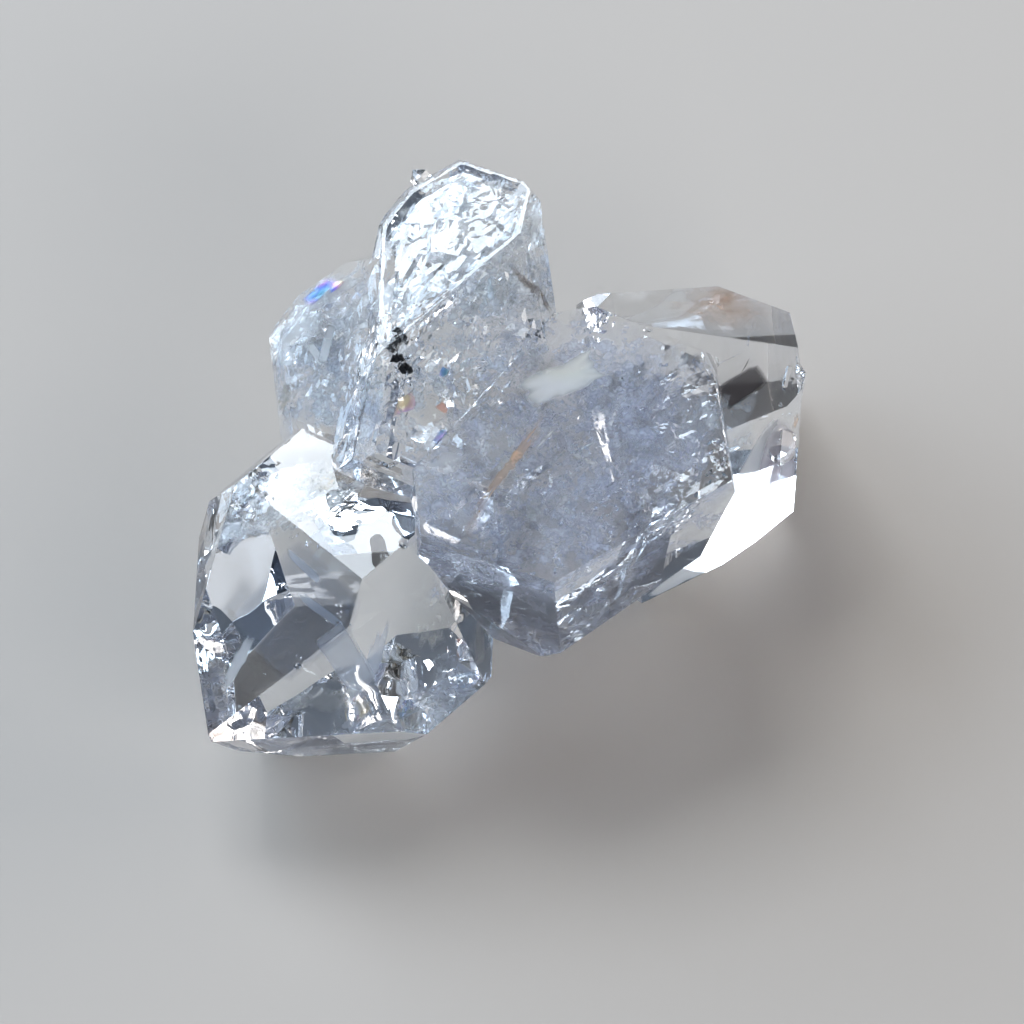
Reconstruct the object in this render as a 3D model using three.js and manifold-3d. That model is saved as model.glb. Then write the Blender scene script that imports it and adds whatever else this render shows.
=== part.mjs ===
// A cluster of five doubly terminated quartz crystals grown together into one solid.
// Units are millimetres, +Z is up, the cluster rests on z = 0.
import * as THREE from 'three';
import { mergeVertices } from 'three/addons/utils/BufferGeometryUtils.js';
import Module from 'manifold-3d';

const wasm = await Module();
wasm.setup();

// ---- Driving dimensions -------------------------------------------------------------------

const RHOMB_TILT = 51.8;        // angle between the c axis and a rhombohedral face normal, degrees
const BLANK_SIZE = 60;          // reach of each face plane before its neighbours cut it
const TRIM_SIZE = 80;           // size of the block removed under the resting plane
const CUTTER_LIFT = 0.05;       // a relief cutter starts this far above its face
const CUTTER_TOP = 0.35;        // and ends flat at this height

// The clear crystal at the front lies on one prism face, its c axis level.
const CLEAR = {
  centre: [-10.15, -13.9, 7.3],
  axisAzimuth: 226,
  prism: { 0: 7.05, 60: 11.6, 120: 8.7, 180: 7.3, 240: 6.7, 300: 4.05 },
  nearRhomb: { 0: 3.9, 60: 7.65, 120: 6.4, 180: 6.95, 240: 3.95, 300: 2.85 },
  farRhomb: { 0: 15, 60: 14.5, 120: 11, 180: 11.6, 240: 10.2, 300: 7.5 },
};

// The other crystals are laid out on a drawing of the cluster seen from above and in front: columns
// run to the right, rows run down, and depth runs toward the viewer, all in steps.
const DRAWING_ELEVATION = 55;                 // angle of the view above level, degrees
const DRAWING_STEP = 0.058;                   // size of one step, mm
const DRAWING_CORNER = [-29, 17.9, 29.54];    // place of column 0, row 0, depth 0, mm
const ANGLE_STEP = 1;                         // face angles are kept to this, degrees
const DISTANCE_STEP = 0.05;                   // face distances are kept to this, mm

// A face hangs on an edge of an earlier face: [that face, edge start, edge end, lean]. The edge runs
// with the new face on its right, and lean is the part of its normal that points at the viewer.
// Other faces are free (a facing and a point), behind an earlier face, or set outright.
const MILKY = {
  centre: [3, -0.5, 10.5],
  faces: {
    top: { facing: [0.1, 0.34, 0.935], through: [553, 582, 75] },
    lowerRight: ['top', [733, 480], [553, 582], 0.42],
    lowerLeft: ['top', [553, 582], [430, 545], 0.445],
    right: ['top', [719, 385], [733, 480], 0.05],
    rightCorner: ['top', [703, 350], [719, 385], 0.1],
    rear: ['top', [600, 307], [703, 350], 0.02],
    rearLeft: ['top', [556, 312], [600, 305], 0.02],
    left: ['top', [415, 470], [556, 312], 0.2],
    seamLeft: ['top', [428, 582], [415, 475], 0.2],
    keelLeft: ['lowerLeft', [545, 657], [430, 583], 0.25],
    keelFront: ['keelLeft', [545, 659], [466, 629], -0.15],
    keelRight: ['lowerRight', [703, 556], [556, 657], -0.35],
    keelSide: ['lowerRight', [731, 500], [703, 556], -0.1],
    under: { behind: 'top', depth: 190 },
  },
};

const TALL = {
  centre: [-3, 4.5, 12],
  faces: {
    front: { facing: [0.226, 0.194, 0.955], through: [430, 440, 36] },
    crown: ['front', [390, 345], [530, 225], 0.8],
    left: ['crown', [378, 340], [384, 215], 0.35],
    leftShoulder: ['crown', [376, 232], [412, 184], 0.25],
    leftFlank: ['leftShoulder', [372, 226], [408, 182], -0.15],
    rearLeft: ['crown', [412, 186], [460, 158], 0.2],
    rearLeftFlank: ['rearLeft', [411, 182], [463, 154], -0.2],
    rearRight: ['crown', [463, 156], [522, 178], 0],
    rearCorner: ['crown', [522, 176], [541, 197], 0],
    right: ['front', [516, 205], [544, 335], 0.62],
    rightFlank: ['right', [541, 197], [560, 335], -0.15],
    frontFoot: ['front', [415, 487], [300, 436], 0.5],
    frontKeel: ['frontFoot', [415, 506], [285, 446], -0.1],
    seamFoot: ['front', [560, 420], [440, 520], 0.2],
    under: { behind: 'front', depth: 200 },
    rear: { azimuth: 90, tilt: 0, distance: 11.8 },
    leftKeel: { facing: [-0.9, 0.1, -0.3], through: [360, 330, -60] },
  },
};

const SHOULDER = {
  centre: [-8, 3, 14],
  faces: {
    top: { facing: [-0.22, 0.2, 0.955], through: [330, 370, -25] },
    leftBevel: ['top', [284, 338], [308, 304], 0.5],
    leftFlank: ['leftBevel', [270, 328], [298, 293], -0.1],
    rearBevel: ['top', [308, 304], [356, 272], 0.5],
    rearFlank: ['rearBevel', [298, 293], [352, 256], -0.1],
    frontBevel: ['top', [293, 440], [280, 340], 0.45],
    frontFlank: ['frontBevel', [281, 440], [268, 343], -0.1],
    foot: ['top', [400, 480], [283, 429], 0.55],
    keel: ['foot', [415, 501], [281, 440], -0.1],
    rear: ['top', [352, 262], [420, 250], 0.1],
    right: { azimuth: 0, tilt: 7, distance: 1.6 },
    under: { behind: 'top', depth: 130 },
  },
};

const GLASSY = {
  centre: [11, 4.5, 7],
  faces: {
    upper: { facing: [0.05, 0.22, 0.974], through: [740, 370, -110] },
    crown: ['upper', [650, 325], [800, 345], 0.72],
    front: ['upper', [800, 400], [690, 445], 0.8],
    rearLeft: ['crown', [572, 303], [600, 290], 0],
    rear: ['crown', [600, 290], [722, 282], -0.1],
    rearRight: ['crown', [722, 281], [800, 310], -0.1],
    corner: ['crown', [796, 306], [808, 325], 0],
    right: ['upper', [808, 325], [813, 400], 0],
    frontRight: ['front', [792, 405], [764, 530], 0.55],
    lowRight: ['frontRight', [806, 400], [800, 518], -0.15],
    keelRight: ['front', [800, 516], [728, 565], -0.15],
    keelFront: ['front', [728, 565], [645, 605], -0.15],
    left: { facing: [-0.96, -0.2, 0.15], through: [608, 440, -180] },
    leftRear: { facing: [-0.7, 0.55, -0.3], through: [572, 300, -160] },
    underRear: { facing: [-0.1, 0.35, -0.93], through: [700, 300, -300] },
  },
};

// Small crystals sitting on the big ones: six-sided, pointed at both ends.
const SMALL = {
  knob: { centre: [-4.6, 13.1, 18.75], axis: [150, 40], radius: 0.6, half: 0.75 },
  bud: { centre: [16.9, 4.2, 10.7], axis: [75, 20], radius: 1.2, half: 1.75 },
  lowBud: { centre: [16.6, 0.9, 8.9], axis: [85, 5], radius: 0.95, half: 1.5 },
};

// Chips knocked off sharp edges: [x, y, z, radius].
const CHIPS = {
  tip: [-17.15, -18.1, 6.1, 0.42],
  frontEdge: [-11.6, -15.8, 10.4, 0.24],
  ridge: [-5.5, -9.9, 14.3, 0.34],
  milkyRight: [13.25, -3.75, 15, 0.3],
  milkyCorner: [12.5, 0.85, 16.35, 0.36],
  milkyRear: [8.7, 3.25, 17.4, 0.28],
};

// Broken and etched skins: grid size, size of one broken block, depth and fade at the rim.
const FRACTURE = { cell: 0.62, block: 1.9, depth: 0.5, border: 0.9 };
const ETCH = { cell: 0.85, depth: 0.2, border: 0.35 };

// ---- Directions and half-spaces -----------------------------------------------------------

const radians = (degrees) => (degrees * Math.PI) / 180;

function direction(azimuth, tilt) {
  const a = radians(azimuth), t = radians(tilt);
  return new THREE.Vector3(Math.cos(t) * Math.cos(a), Math.cos(t) * Math.sin(a), Math.sin(t));
}

// A point of the drawing, in steps.
const drawn = (column, row, depth) => new THREE.Vector3(column, -row, depth);

// Turns a direction of the drawing into one of the model.
function modelDirection({ x, y, z }) {
  const rise = Math.sin(radians(DRAWING_ELEVATION));
  const run = Math.cos(radians(DRAWING_ELEVATION));
  return new THREE.Vector3(x, rise * y - run * z, run * y + rise * z);
}

// Depth of a face at a column and row of the drawing.
function depthOf({ normal, point }, [column, row]) {
  return point.z - (normal.x * (column - point.x) + normal.y * (-row - point.y)) / normal.z;
}

// Plane through an edge drawn on an earlier face, leaning toward the viewer.
function hingedPlane(base, from, to, lean) {
  const a = drawn(...from, depthOf(base, from));
  const b = drawn(...to, depthOf(base, to));
  const run = b.clone().sub(a);
  const length = Math.hypot(run.x, run.y);
  const along = (-lean * run.z) / length;
  const out = Math.sqrt(Math.max(0, 1 - lean ** 2 - along ** 2));
  const x = (along * run.x - out * run.y) / length;
  const y = (along * run.y + out * run.x) / length;
  return { normal: new THREE.Vector3(x, y, lean).normalize(), point: a.lerp(b, 0.5) };
}

// Plane of one face on the drawing, from the planes before it.
function drawnPlane(face, planes) {
  if (Array.isArray(face)) {
    const [base, from, to, lean] = face;
    return hingedPlane(planes[base], from, to, lean);
  }
  if (face.behind) {
    const { normal, point } = planes[face.behind];
    return { normal: normal.clone().negate(), point: point.clone().addScaledVector(normal, -face.depth) };
  }
  return { normal: new THREE.Vector3(...face.facing).normalize(), point: drawn(...face.through) };
}

const kept = (value, step) => Math.round(value / step) / Math.round(1 / step);

// Azimuth, tilt above level and distance from the centre of a plane of the drawing.
function settled({ normal, point }, centre) {
  const facing = modelDirection(normal);
  const corner = new THREE.Vector3(...DRAWING_CORNER);
  const place = modelDirection(point).multiplyScalar(DRAWING_STEP).add(corner).sub(centre);
  return {
    azimuth: kept(THREE.MathUtils.radToDeg(Math.atan2(facing.y, facing.x)), ANGLE_STEP),
    tilt: kept(THREE.MathUtils.radToDeg(Math.asin(facing.z)), ANGLE_STEP),
    distance: kept(facing.dot(place), DISTANCE_STEP),
  };
}

function crystalFaces(spec) {
  const centre = new THREE.Vector3(...spec.centre);
  const planes = {};
  return Object.entries(spec.faces).map(([name, face]) => {
    const outright = face.distance !== undefined;
    if (!outright) planes[name] = drawnPlane(face, planes);
    const { azimuth, tilt, distance } = outright ? face : settled(planes[name], centre);
    const normal = direction(azimuth, tilt);
    return { name, normal, offset: normal.dot(centre) + distance };
  });
}

// Faces of an ideal quartz habit: a prism round the c axis and a rhombohedral point at each end.
function habitFaces(spec) {
  const centre = new THREE.Vector3(...spec.centre);
  const axis = direction(spec.axisAzimuth, 0);
  const up = new THREE.Vector3(0, 0, 1);
  const side = new THREE.Vector3().crossVectors(axis, up).negate();
  const lean = radians(RHOMB_TILT);
  const faces = [];
  const add = (group, across, along) => {
    for (const [turn, distance] of Object.entries(spec[group])) {
      const a = radians(Number(turn));
      const round = up.clone().multiplyScalar(Math.cos(a)).addScaledVector(side, -Math.sin(a));
      const normal = round.multiplyScalar(across).addScaledVector(axis, along);
      faces.push({ name: group + turn, normal, offset: normal.dot(centre) + distance });
    }
  };
  add('prism', 1, 0);
  add('nearRhomb', Math.sin(lean), Math.cos(lean));
  add('farRhomb', Math.sin(lean), -Math.cos(lean));
  return faces;
}

// ---- Convex polyhedron from its faces -----------------------------------------------------

function startSquare(face) {
  const steep = Math.abs(face.normal.z) < 0.9;
  const helper = steep ? new THREE.Vector3(0, 0, 1) : new THREE.Vector3(1, 0, 0);
  const u = new THREE.Vector3().crossVectors(helper, face.normal).normalize();
  const v = new THREE.Vector3().crossVectors(face.normal, u);
  const middle = face.normal.clone().multiplyScalar(face.offset);
  const corner = (a, b) => middle.clone()
    .addScaledVector(u, a * BLANK_SIZE).addScaledVector(v, b * BLANK_SIZE);
  return [corner(-1, -1), corner(1, -1), corner(1, 1), corner(-1, 1)];
}

function clipPolygon(points, face) {
  const kept = [];
  points.forEach((p, i) => {
    const q = points[(i + 1) % points.length];
    const dp = face.normal.dot(p) - face.offset;
    const dq = face.normal.dot(q) - face.offset;
    if (dp <= 0) kept.push(p);
    if (dp * dq < 0) kept.push(p.clone().lerp(q, dp / (dp - dq)));
  });
  return kept;
}

function polygonsOf(faces) {
  const polygons = [];
  for (const face of faces) {
    let points = startSquare(face);
    for (const other of faces) if (other !== face) points = clipPolygon(points, other);
    if (points.length > 2) polygons.push({ face, points });
  }
  return polygons;
}

// ---- Relief -------------------------------------------------------------------------------

const fraction = (value) => value - Math.floor(value);
const scatter = (a, b, c, salt) => fraction(Math.sin(a * 12.9 + b * 78.2 + c * 37.7 + salt) * 43758.5);

// The break runs through blocks, each with a level and a slope of its own.
function fractureRelief(p, skin) {
  const q = p.clone().divideScalar(skin.block);
  const base = [Math.floor(q.x), Math.floor(q.y), Math.floor(q.z)];
  let least = Infinity, height = 0;
  for (let n = 0; n < 27; n += 1) {
    const a = base[0] + (n % 3) - 1, b = base[1] + (Math.floor(n / 3) % 3) - 1;
    const c = base[2] + Math.floor(n / 9) - 1;
    const seed = new THREE.Vector3(a, b, c)
      .add(new THREE.Vector3(scatter(a, b, c, 1), scatter(a, b, c, 2), scatter(a, b, c, 3)));
    const away = q.clone().sub(seed);
    if (away.lengthSq() >= least) continue;
    least = away.lengthSq();
    const slope = (scatter(a, b, c, 4) - 0.5) * away.x + (scatter(a, b, c, 5) - 0.5) * away.y;
    height = 0.15 + 0.6 * scatter(a, b, c, 6) + 0.9 * slope;
  }
  return THREE.MathUtils.clamp(height, 0.02, 1);
}

// Shallow elongated etch pits, strongest toward the +X end.
function etchRelief(p) {
  const along = 0.35 * p.x + 0.94 * p.y;
  const across = 0.94 * p.x - 0.35 * p.y;
  const pits = Math.abs(Math.sin(2.1 * across + 0.8 * Math.sin(1.1 * along)) * Math.sin(1.3 * along));
  return pits * THREE.MathUtils.smoothstep(p.x, 5.5, 10);
}

function edgeDistance(p, polygon) {
  let least = Infinity;
  polygon.points.forEach((a, i) => {
    const b = polygon.points[(i + 1) % polygon.points.length];
    const along = b.clone().sub(a);
    const t = THREE.MathUtils.clamp(p.clone().sub(a).dot(along) / along.lengthSq(), 0, 1);
    least = Math.min(least, p.distanceTo(a.clone().addScaledVector(along, t)));
  });
  return least;
}

// Fine triangular grid over a face: the same count on every slice, so the slices meet exactly.
function faceGrid(polygon, cell) {
  const centre = new THREE.Vector3();
  polygon.points.forEach((p) => centre.addScaledVector(p, 1 / polygon.points.length));
  const reach = Math.max(...polygon.points.map((p) => p.distanceTo(centre)));
  const n = Math.ceil(reach / cell);
  const triangles = [];
  polygon.points.forEach((b, k) => {
    const c = polygon.points[(k + 1) % polygon.points.length];
    const point = (i, j) => centre.clone().multiplyScalar((n - i - j) / n)
      .addScaledVector(b, i / n).addScaledVector(c, j / n);
    for (let i = 0; i < n; i += 1) {
      for (let j = 0; j < n - i; j += 1) {
        triangles.push([point(i, j), point(i + 1, j), point(i, j + 1)]);
        if (i + j < n - 1) triangles.push([point(i + 1, j), point(i + 1, j + 1), point(i, j + 1)]);
      }
    }
  });
  return { triangles, n };
}

// Solid removed from a broken face: flat above the face, stepped below it.
function reliefCutter(polygon, skin) {
  const { normal } = polygon.face;
  const sink = (p) => {
    const ramp = THREE.MathUtils.smoothstep(edgeDistance(p, polygon), 0.02, skin.border);
    const drop = (skin.depth + CUTTER_LIFT) * skin.relief(p, skin) * ramp;
    return p.clone().addScaledVector(normal, CUTTER_LIFT - drop);
  };
  const lift = (p) => p.clone().addScaledVector(normal, CUTTER_TOP);
  const { triangles, n } = faceGrid(polygon, skin.cell);
  const out = [];
  for (const [a, b, c] of triangles) {
    out.push(sink(a), sink(c), sink(b), lift(a), lift(b), lift(c));
  }
  polygon.points.forEach((a, k) => {
    const b = polygon.points[(k + 1) % polygon.points.length];
    for (let i = 0; i < n; i += 1) {
      const p = a.clone().lerp(b, i / n), q = a.clone().lerp(b, (i + 1) / n);
      out.push(sink(p), sink(q), lift(q), sink(p), lift(q), lift(p));
    }
  });
  return solidOf(out);
}

// ---- Solids -------------------------------------------------------------------------------

// Closed solid from a plain list of triangle corners.
function solidOf(corners) {
  const geometry = new THREE.BufferGeometry().setFromPoints(corners);
  return solidOfGeometry(geometry);
}

function solidOfGeometry(source) {
  const loose = source.index ? source.toNonIndexed() : source.clone();
  loose.deleteAttribute('normal');
  loose.deleteAttribute('uv');
  const merged = mergeVertices(loose, 1e-5);
  const vertProperties = new Float32Array(merged.attributes.position.array);
  const triVerts = new Uint32Array(merged.index.array);
  return new wasm.Manifold(new wasm.Mesh({ numProp: 3, vertProperties, triVerts }));
}

function convexSolid(polygons) {
  const corners = [];
  for (const { points } of polygons) {
    for (let i = 1; i < points.length - 1; i += 1) corners.push(points[0], points[i], points[i + 1]);
  }
  return solidOf(corners);
}

// A crystal, with a skin of relief on the faces named in skins.
function crystal(faces, skins = {}) {
  const polygons = polygonsOf(faces);
  let solid = convexSolid(polygons);
  for (const polygon of polygons) {
    const skin = skins[polygon.face.name];
    if (skin) solid = solid.subtract(reliefCutter(polygon, skin));
  }
  return solid;
}

// Small six-sided crystal with a point at each end.
function smallCrystal({ centre, axis, radius, half }) {
  const outline = [[0, -half], [radius, -half * 0.35], [radius, half * 0.35], [0, half]];
  const points = outline.map(([r, y]) => new THREE.Vector2(r, y));
  const geometry = new THREE.LatheGeometry(points, 6);
  const turn = new THREE.Quaternion().setFromUnitVectors(new THREE.Vector3(0, 1, 0), direction(...axis));
  geometry.applyQuaternion(turn);
  geometry.translate(...centre);
  return solidOfGeometry(geometry);
}

// A chip is a coarse rounded bite out of an edge.
function chip([x, y, z, radius]) {
  const geometry = new THREE.IcosahedronGeometry(radius, 1);
  geometry.rotateX(x).rotateY(z);
  geometry.translate(x, y, z);
  return solidOfGeometry(geometry);
}

function blockUnderFloor() {
  const geometry = new THREE.BoxGeometry(TRIM_SIZE, TRIM_SIZE, TRIM_SIZE);
  geometry.translate(0, 0, -TRIM_SIZE / 2);
  return solidOfGeometry(geometry);
}

// Mesh of the finished solid, moved so the middle of its footprint is the origin.
function geometryOf(solid) {
  const mesh = solid.getMesh();
  const geometry = new THREE.BufferGeometry();
  const positions = new Float32Array(mesh.vertProperties);
  geometry.setAttribute('position', new THREE.BufferAttribute(positions, 3));
  geometry.setIndex(new THREE.BufferAttribute(new Uint32Array(mesh.triVerts), 1));
  geometry.computeBoundingBox();
  const { min, max } = geometry.boundingBox;
  geometry.translate(-(min.x + max.x) / 2, -(min.y + max.y) / 2, -min.z);
  return geometry;
}

// ---- The cluster --------------------------------------------------------------------------

function buildCluster() {
  const fracture = { ...FRACTURE, relief: fractureRelief };
  const etch = { ...ETCH, relief: etchRelief };
  let solid = crystal(habitFaces(CLEAR));
  solid = solid.add(crystal(crystalFaces(MILKY), { top: etch }));
  solid = solid.add(crystal(crystalFaces(TALL), { crown: fracture, front: fracture, left: fracture }));
  solid = solid.add(crystal(crystalFaces(SHOULDER), { top: fracture }));
  solid = solid.add(crystal(crystalFaces(GLASSY)));
  for (const spec of Object.values(SMALL)) solid = solid.add(smallCrystal(spec));
  for (const spec of Object.values(CHIPS)) solid = solid.subtract(chip(spec));
  return solid.subtract(blockUnderFloor());
}

const quartz = new THREE.MeshStandardMaterial({ color: 0xe8edf2, roughness: 0.08, metalness: 0 });
const cluster = new THREE.Mesh(geometryOf(buildCluster()), quartz);
cluster.name = 'quartz_cluster';

const group = new THREE.Group();
group.name = 'herkimer_cluster';
group.add(cluster);

export default group;
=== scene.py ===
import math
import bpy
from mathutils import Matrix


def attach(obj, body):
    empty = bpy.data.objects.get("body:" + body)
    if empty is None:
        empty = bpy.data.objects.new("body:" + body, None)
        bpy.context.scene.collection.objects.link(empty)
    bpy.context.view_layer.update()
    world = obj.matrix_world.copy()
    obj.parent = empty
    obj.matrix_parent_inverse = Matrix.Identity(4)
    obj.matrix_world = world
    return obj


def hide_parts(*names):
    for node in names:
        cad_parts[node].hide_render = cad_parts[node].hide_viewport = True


bl_info = {
    "name": "Herkimer Diamond Cluster",
    "version": (1, 0, 0),
    "blender": (4, 5, 0),
    "location": "3D View > Sidebar > Herkimer",
    "description": "A cluster of clear and milky quartz crystals with its cracks, veils, bubbles and grains",
    "category": "Object",
}

from collections import namedtuple

import bmesh
import bpy
import numpy as np
from mathutils import Matrix, Vector, noise
from mathutils.bvhtree import BVHTree

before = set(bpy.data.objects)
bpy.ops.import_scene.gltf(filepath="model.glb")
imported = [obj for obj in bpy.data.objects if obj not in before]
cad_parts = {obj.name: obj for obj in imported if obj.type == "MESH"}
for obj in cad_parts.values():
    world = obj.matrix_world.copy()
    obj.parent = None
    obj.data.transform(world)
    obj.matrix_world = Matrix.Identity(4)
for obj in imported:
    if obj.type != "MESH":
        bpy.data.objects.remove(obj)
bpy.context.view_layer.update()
CLUSTER_NODE = "quartz_cluster"
MM = 0.001

# Material slots of the crystals: whole faces and broken ground.
CLEAR_SLOT = 0
BROKEN_SLOT = 1

# The main view, which the camera takes and in which the inclusions are placed.
VIEW_ELEVATION = math.radians(55.0)
VIEW_WIDTH = 59.4 * MM
VIEW_COLUMNS = 1024
VIEW_TARGET = Vector((0.57, -5.56, 12.5)) * MM
VIEW_RIGHT = Vector((1.0, 0.0, 0.0))
VIEW_UP = Vector((0.0, math.sin(VIEW_ELEVATION), math.cos(VIEW_ELEVATION)))
VIEW_FORWARD = Vector((0.0, math.cos(VIEW_ELEVATION), -math.sin(VIEW_ELEVATION)))
BRIGHT_SIDE = Vector((-0.75, 0.42, 0.48)).normalized()
STEEPEST_SQUASH = 0.2  # a sheet seen at a steeper slant than this is made no wider


# ---------------------------------------------------------------- settings


def length_setting(name, description, default):
    """A length that can be changed in the panel."""
    return bpy.props.FloatProperty(
        name=name, description=description, default=default, subtype="DISTANCE", unit="LENGTH"
    )


def angle_setting(name, description, default):
    """An angle that can be changed in the panel."""
    return bpy.props.FloatProperty(name=name, description=description, default=default, subtype="ANGLE")


def number_setting(name, description, default):
    """A plain number that can be changed in the panel."""
    return bpy.props.FloatProperty(name=name, description=description, default=default)


def colour_setting(name, description, default):
    """A colour that can be changed in the panel."""
    return bpy.props.FloatVectorProperty(
        name=name, description=description, default=default, subtype="COLOR", size=3, min=0.0, max=1.0
    )


class CrystalSettings(bpy.types.PropertyGroup):
    """Sizes and optical values of the quartz itself."""

    edge_wear: length_setting("Edge wear", "Width of the narrow worn band along a crystal edge", 0.05 * MM)
    sharp_edge_angle: angle_setting(
        "Sharp edge angle", "Edges that turn by more than this are worn", math.radians(18.0)
    )
    broken_roughness: number_setting("Broken roughness", "Roughness of broken and etched ground", 0.08)
    growth_ripple: length_setting("Growth ripple", "Height of the growth ripples on whole faces", 0.03 * MM)
    stain_colour: colour_setting("Stain colour", "Rusty stains on the crystal faces", (0.62, 0.33, 0.15))
    refraction: number_setting("Refraction", "Index of refraction of quartz", 1.545)
    depth_tint: colour_setting("Depth tint", "Colour that light keeps in the crystal", (0.86, 0.91, 1.0))
    depth_tint_density: number_setting("Depth tint density", "Absorption per metre", 6.0)


class InclusionSettings(bpy.types.PropertyGroup):
    """Cracks, veils, bubbles and grains inside the quartz."""

    crack_gap: length_setting("Crack gap", "Widest opening of an air crack", 0.014 * MM)
    crack_waviness: length_setting("Crack waviness", "Height of the ripples on a crack", 0.07 * MM)
    ripple_length: length_setting("Ripple length", "Distance from one crack ripple to the next", 0.9 * MM)
    skin_depth: length_setting("Skin depth", "Whole quartz between an inclusion and the surface", 0.12 * MM)
    bubble_size: length_setting("Bubble size", "Radius of the largest bubbles in a healed crack", 0.13 * MM)
    bubble_density: number_setting("Bubble density", "Bubbles on a square metre of a healed crack", 7.0e6)
    grain_colour: colour_setting("Grain colour", "The black hydrocarbon grains", (0.006, 0.006, 0.007))


class VeilColours(bpy.types.PropertyGroup):
    """Colours of the veils and threads inside the quartz."""

    white: colour_setting("White", "Fractured, white veils and threads, and the painted reflection band", (0.985, 0.99, 1.0))
    milk: colour_setting("Milk", "The cloud in the milky crystal", (0.68, 0.72, 0.85))
    ice: colour_setting("Ice", "Cool, thin wisps and bars", (0.80, 0.87, 1.0))
    cream: colour_setting("Cream", "The cream veil", (0.98, 0.96, 0.88))
    tan: colour_setting("Tan", "The tan streaks and rusty patches", (0.80, 0.56, 0.38))
    salmon: colour_setting("Salmon", "The salmon fleck", (0.95, 0.42, 0.26))
    olive: colour_setting("Olive", "The olive streak", (0.24, 0.20, 0.10))
    brown: colour_setting("Brown", "The brown slit", (0.22, 0.13, 0.07))
    # Painted shade: this dark colour stands for the dark surroundings seen through the clear quartz; the
    # quartz itself is not smoky.
    smoke: colour_setting("Smoke", "Painted shade in threads and patches", (0.10, 0.085, 0.085))
    gold: colour_setting("Gold", "The gold speckles", (0.62, 0.45, 0.16))
    # Painted shade: this dark blue-grey stands for the dark surroundings seen through the clear crystal.
    slate: colour_setting("Slate", "Painted see-through shade of the dark surroundings", (0.25, 0.29, 0.38))
    lilac: colour_setting("Lilac", "The pale lilac haze", (0.70, 0.66, 0.72))
    haze: colour_setting("Haze", "The even haze in the tall crystal", (0.84, 0.89, 1.0))


class StageSettings(bpy.types.PropertyGroup):
    """Floor, lights and camera."""

    floor_colour: colour_setting("Floor colour", "Colour of the plain floor", (0.43, 0.385, 0.345))
    floor_size: length_setting("Floor size", "Width of the square floor", 3.0)
    air_film: length_setting("Air film", "Gap between the floor and the faces that rest on it", 0.03 * MM)
    camera_elevation: angle_setting("Camera elevation", "Angle of the view above the floor", VIEW_ELEVATION)
    camera_distance: length_setting("Camera distance", "From the camera to the point it looks at", 0.5)
    view_width: length_setting("View width", "Width shown at the point looked at", VIEW_WIDTH)


SETTINGS = {
    "herkimer_crystal": CrystalSettings,
    "herkimer_inclusions": InclusionSettings,
    "herkimer_colours": VeilColours,
    "herkimer_stage": StageSettings,
}


# ---------------------------------------------------------------- helpers


def add_object(name, data):
    """Links a new object at the origin: a mesh, a light or a camera."""
    piece = bpy.data.objects.new(name, data)
    bpy.context.scene.collection.objects.link(piece)
    return piece


def set_inputs(tree, node, inputs):
    """Sets the inputs of a node to plain values, or links the sockets that feed them."""
    for name, value in inputs.items():
        if isinstance(value, bpy.types.NodeSocket):
            tree.links.new(value, node.inputs[name])
        else:
            node.inputs[name].default_value = value


def add_node(tree, kind, inputs, **settings):
    """A node with its settings and its inputs."""
    node = tree.nodes.new(kind)
    for name, value in settings.items():
        setattr(node, name, value)
    set_inputs(tree, node, inputs)
    return node


def add_noise(tree, scale, detail, roughness=0.5):
    """The output of a noise that is fixed to the piece."""
    place = add_node(tree, "ShaderNodeTexCoord", {}).outputs["Object"]
    inputs = {"Vector": place, "Scale": scale, "Detail": detail, "Roughness": roughness}
    return add_node(tree, "ShaderNodeTexNoise", inputs).outputs["Fac"]


def new_group(name, kind, inputs, output):
    """A node group with its named inputs and its one output, and the sockets that its inputs feed."""
    group = bpy.data.node_groups.new(name, kind)
    for socket, socket_kind in inputs.items():
        group.interface.new_socket(socket, in_out="INPUT", socket_type="NodeSocket" + socket_kind)
    group.interface.new_socket(output, in_out="OUTPUT", socket_type="NodeSocket" + output)
    return group, group.nodes.new("NodeGroupInput").outputs


def new_material(name):
    """A node material with nothing in it yet."""
    material = bpy.data.materials.new(name)
    material.use_nodes = True
    material.node_tree.nodes.clear()
    return material


def finish_material(material, inputs, filling=None):
    """Gives a material its Principled BSDF and, where it has one, what fills the solid."""
    shader = add_node(material.node_tree, "ShaderNodeBsdfPrincipled", inputs)
    ends = {"Surface": shader.outputs["BSDF"]}
    if filling:
        ends["Volume"] = filling
    add_node(material.node_tree, "ShaderNodeOutputMaterial", ends)
    return material


def opaque(colour):
    """A colour with full cover."""
    return (*colour, 1.0)


# ---------------------------------------------------------------- inclusions

# A sheet inside the quartz: its centre in mm, the compass azimuth and tilt of its face, its spin in
# its own plane, and its length and width in mm.
Sheet = namedtuple("Sheet", "x y z azimuth tilt spin length width")

# A swarm of sheets: the centre and half-spread in mm, how many, the mean facing and how far it
# wanders in degrees, the mean spin and its sway in degrees, the width as a share of the length, and
# the shortest and longest length in mm.
Swarm = namedtuple("Swarm", "centre spread count azimuth tilt wander spin sway slim short long")

# A sheet as the main view shows it: the column and row of its middle, its depth in mm along the line
# of sight once that has bent into the quartz, how it lies, its slant in the view in degrees, and the
# length and width in mm that it looks to have.
Seen = namedtuple("Seen", "column row depth lies slant length width")

FLAT = "flat"  # parallel to the crystal face above it
BRIGHT = "bright"  # turned so that it mirrors the bright side into the main view

# How a veil looks: the name of its colour, how much it hides, how even it is (0 wispy, 1 even) and how
# crisp its rim is.
Veil = namedtuple("Veil", "tint strength body crisp")
THREAD_BODY = 0.0
THREAD_CRISP = 2.0

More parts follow.
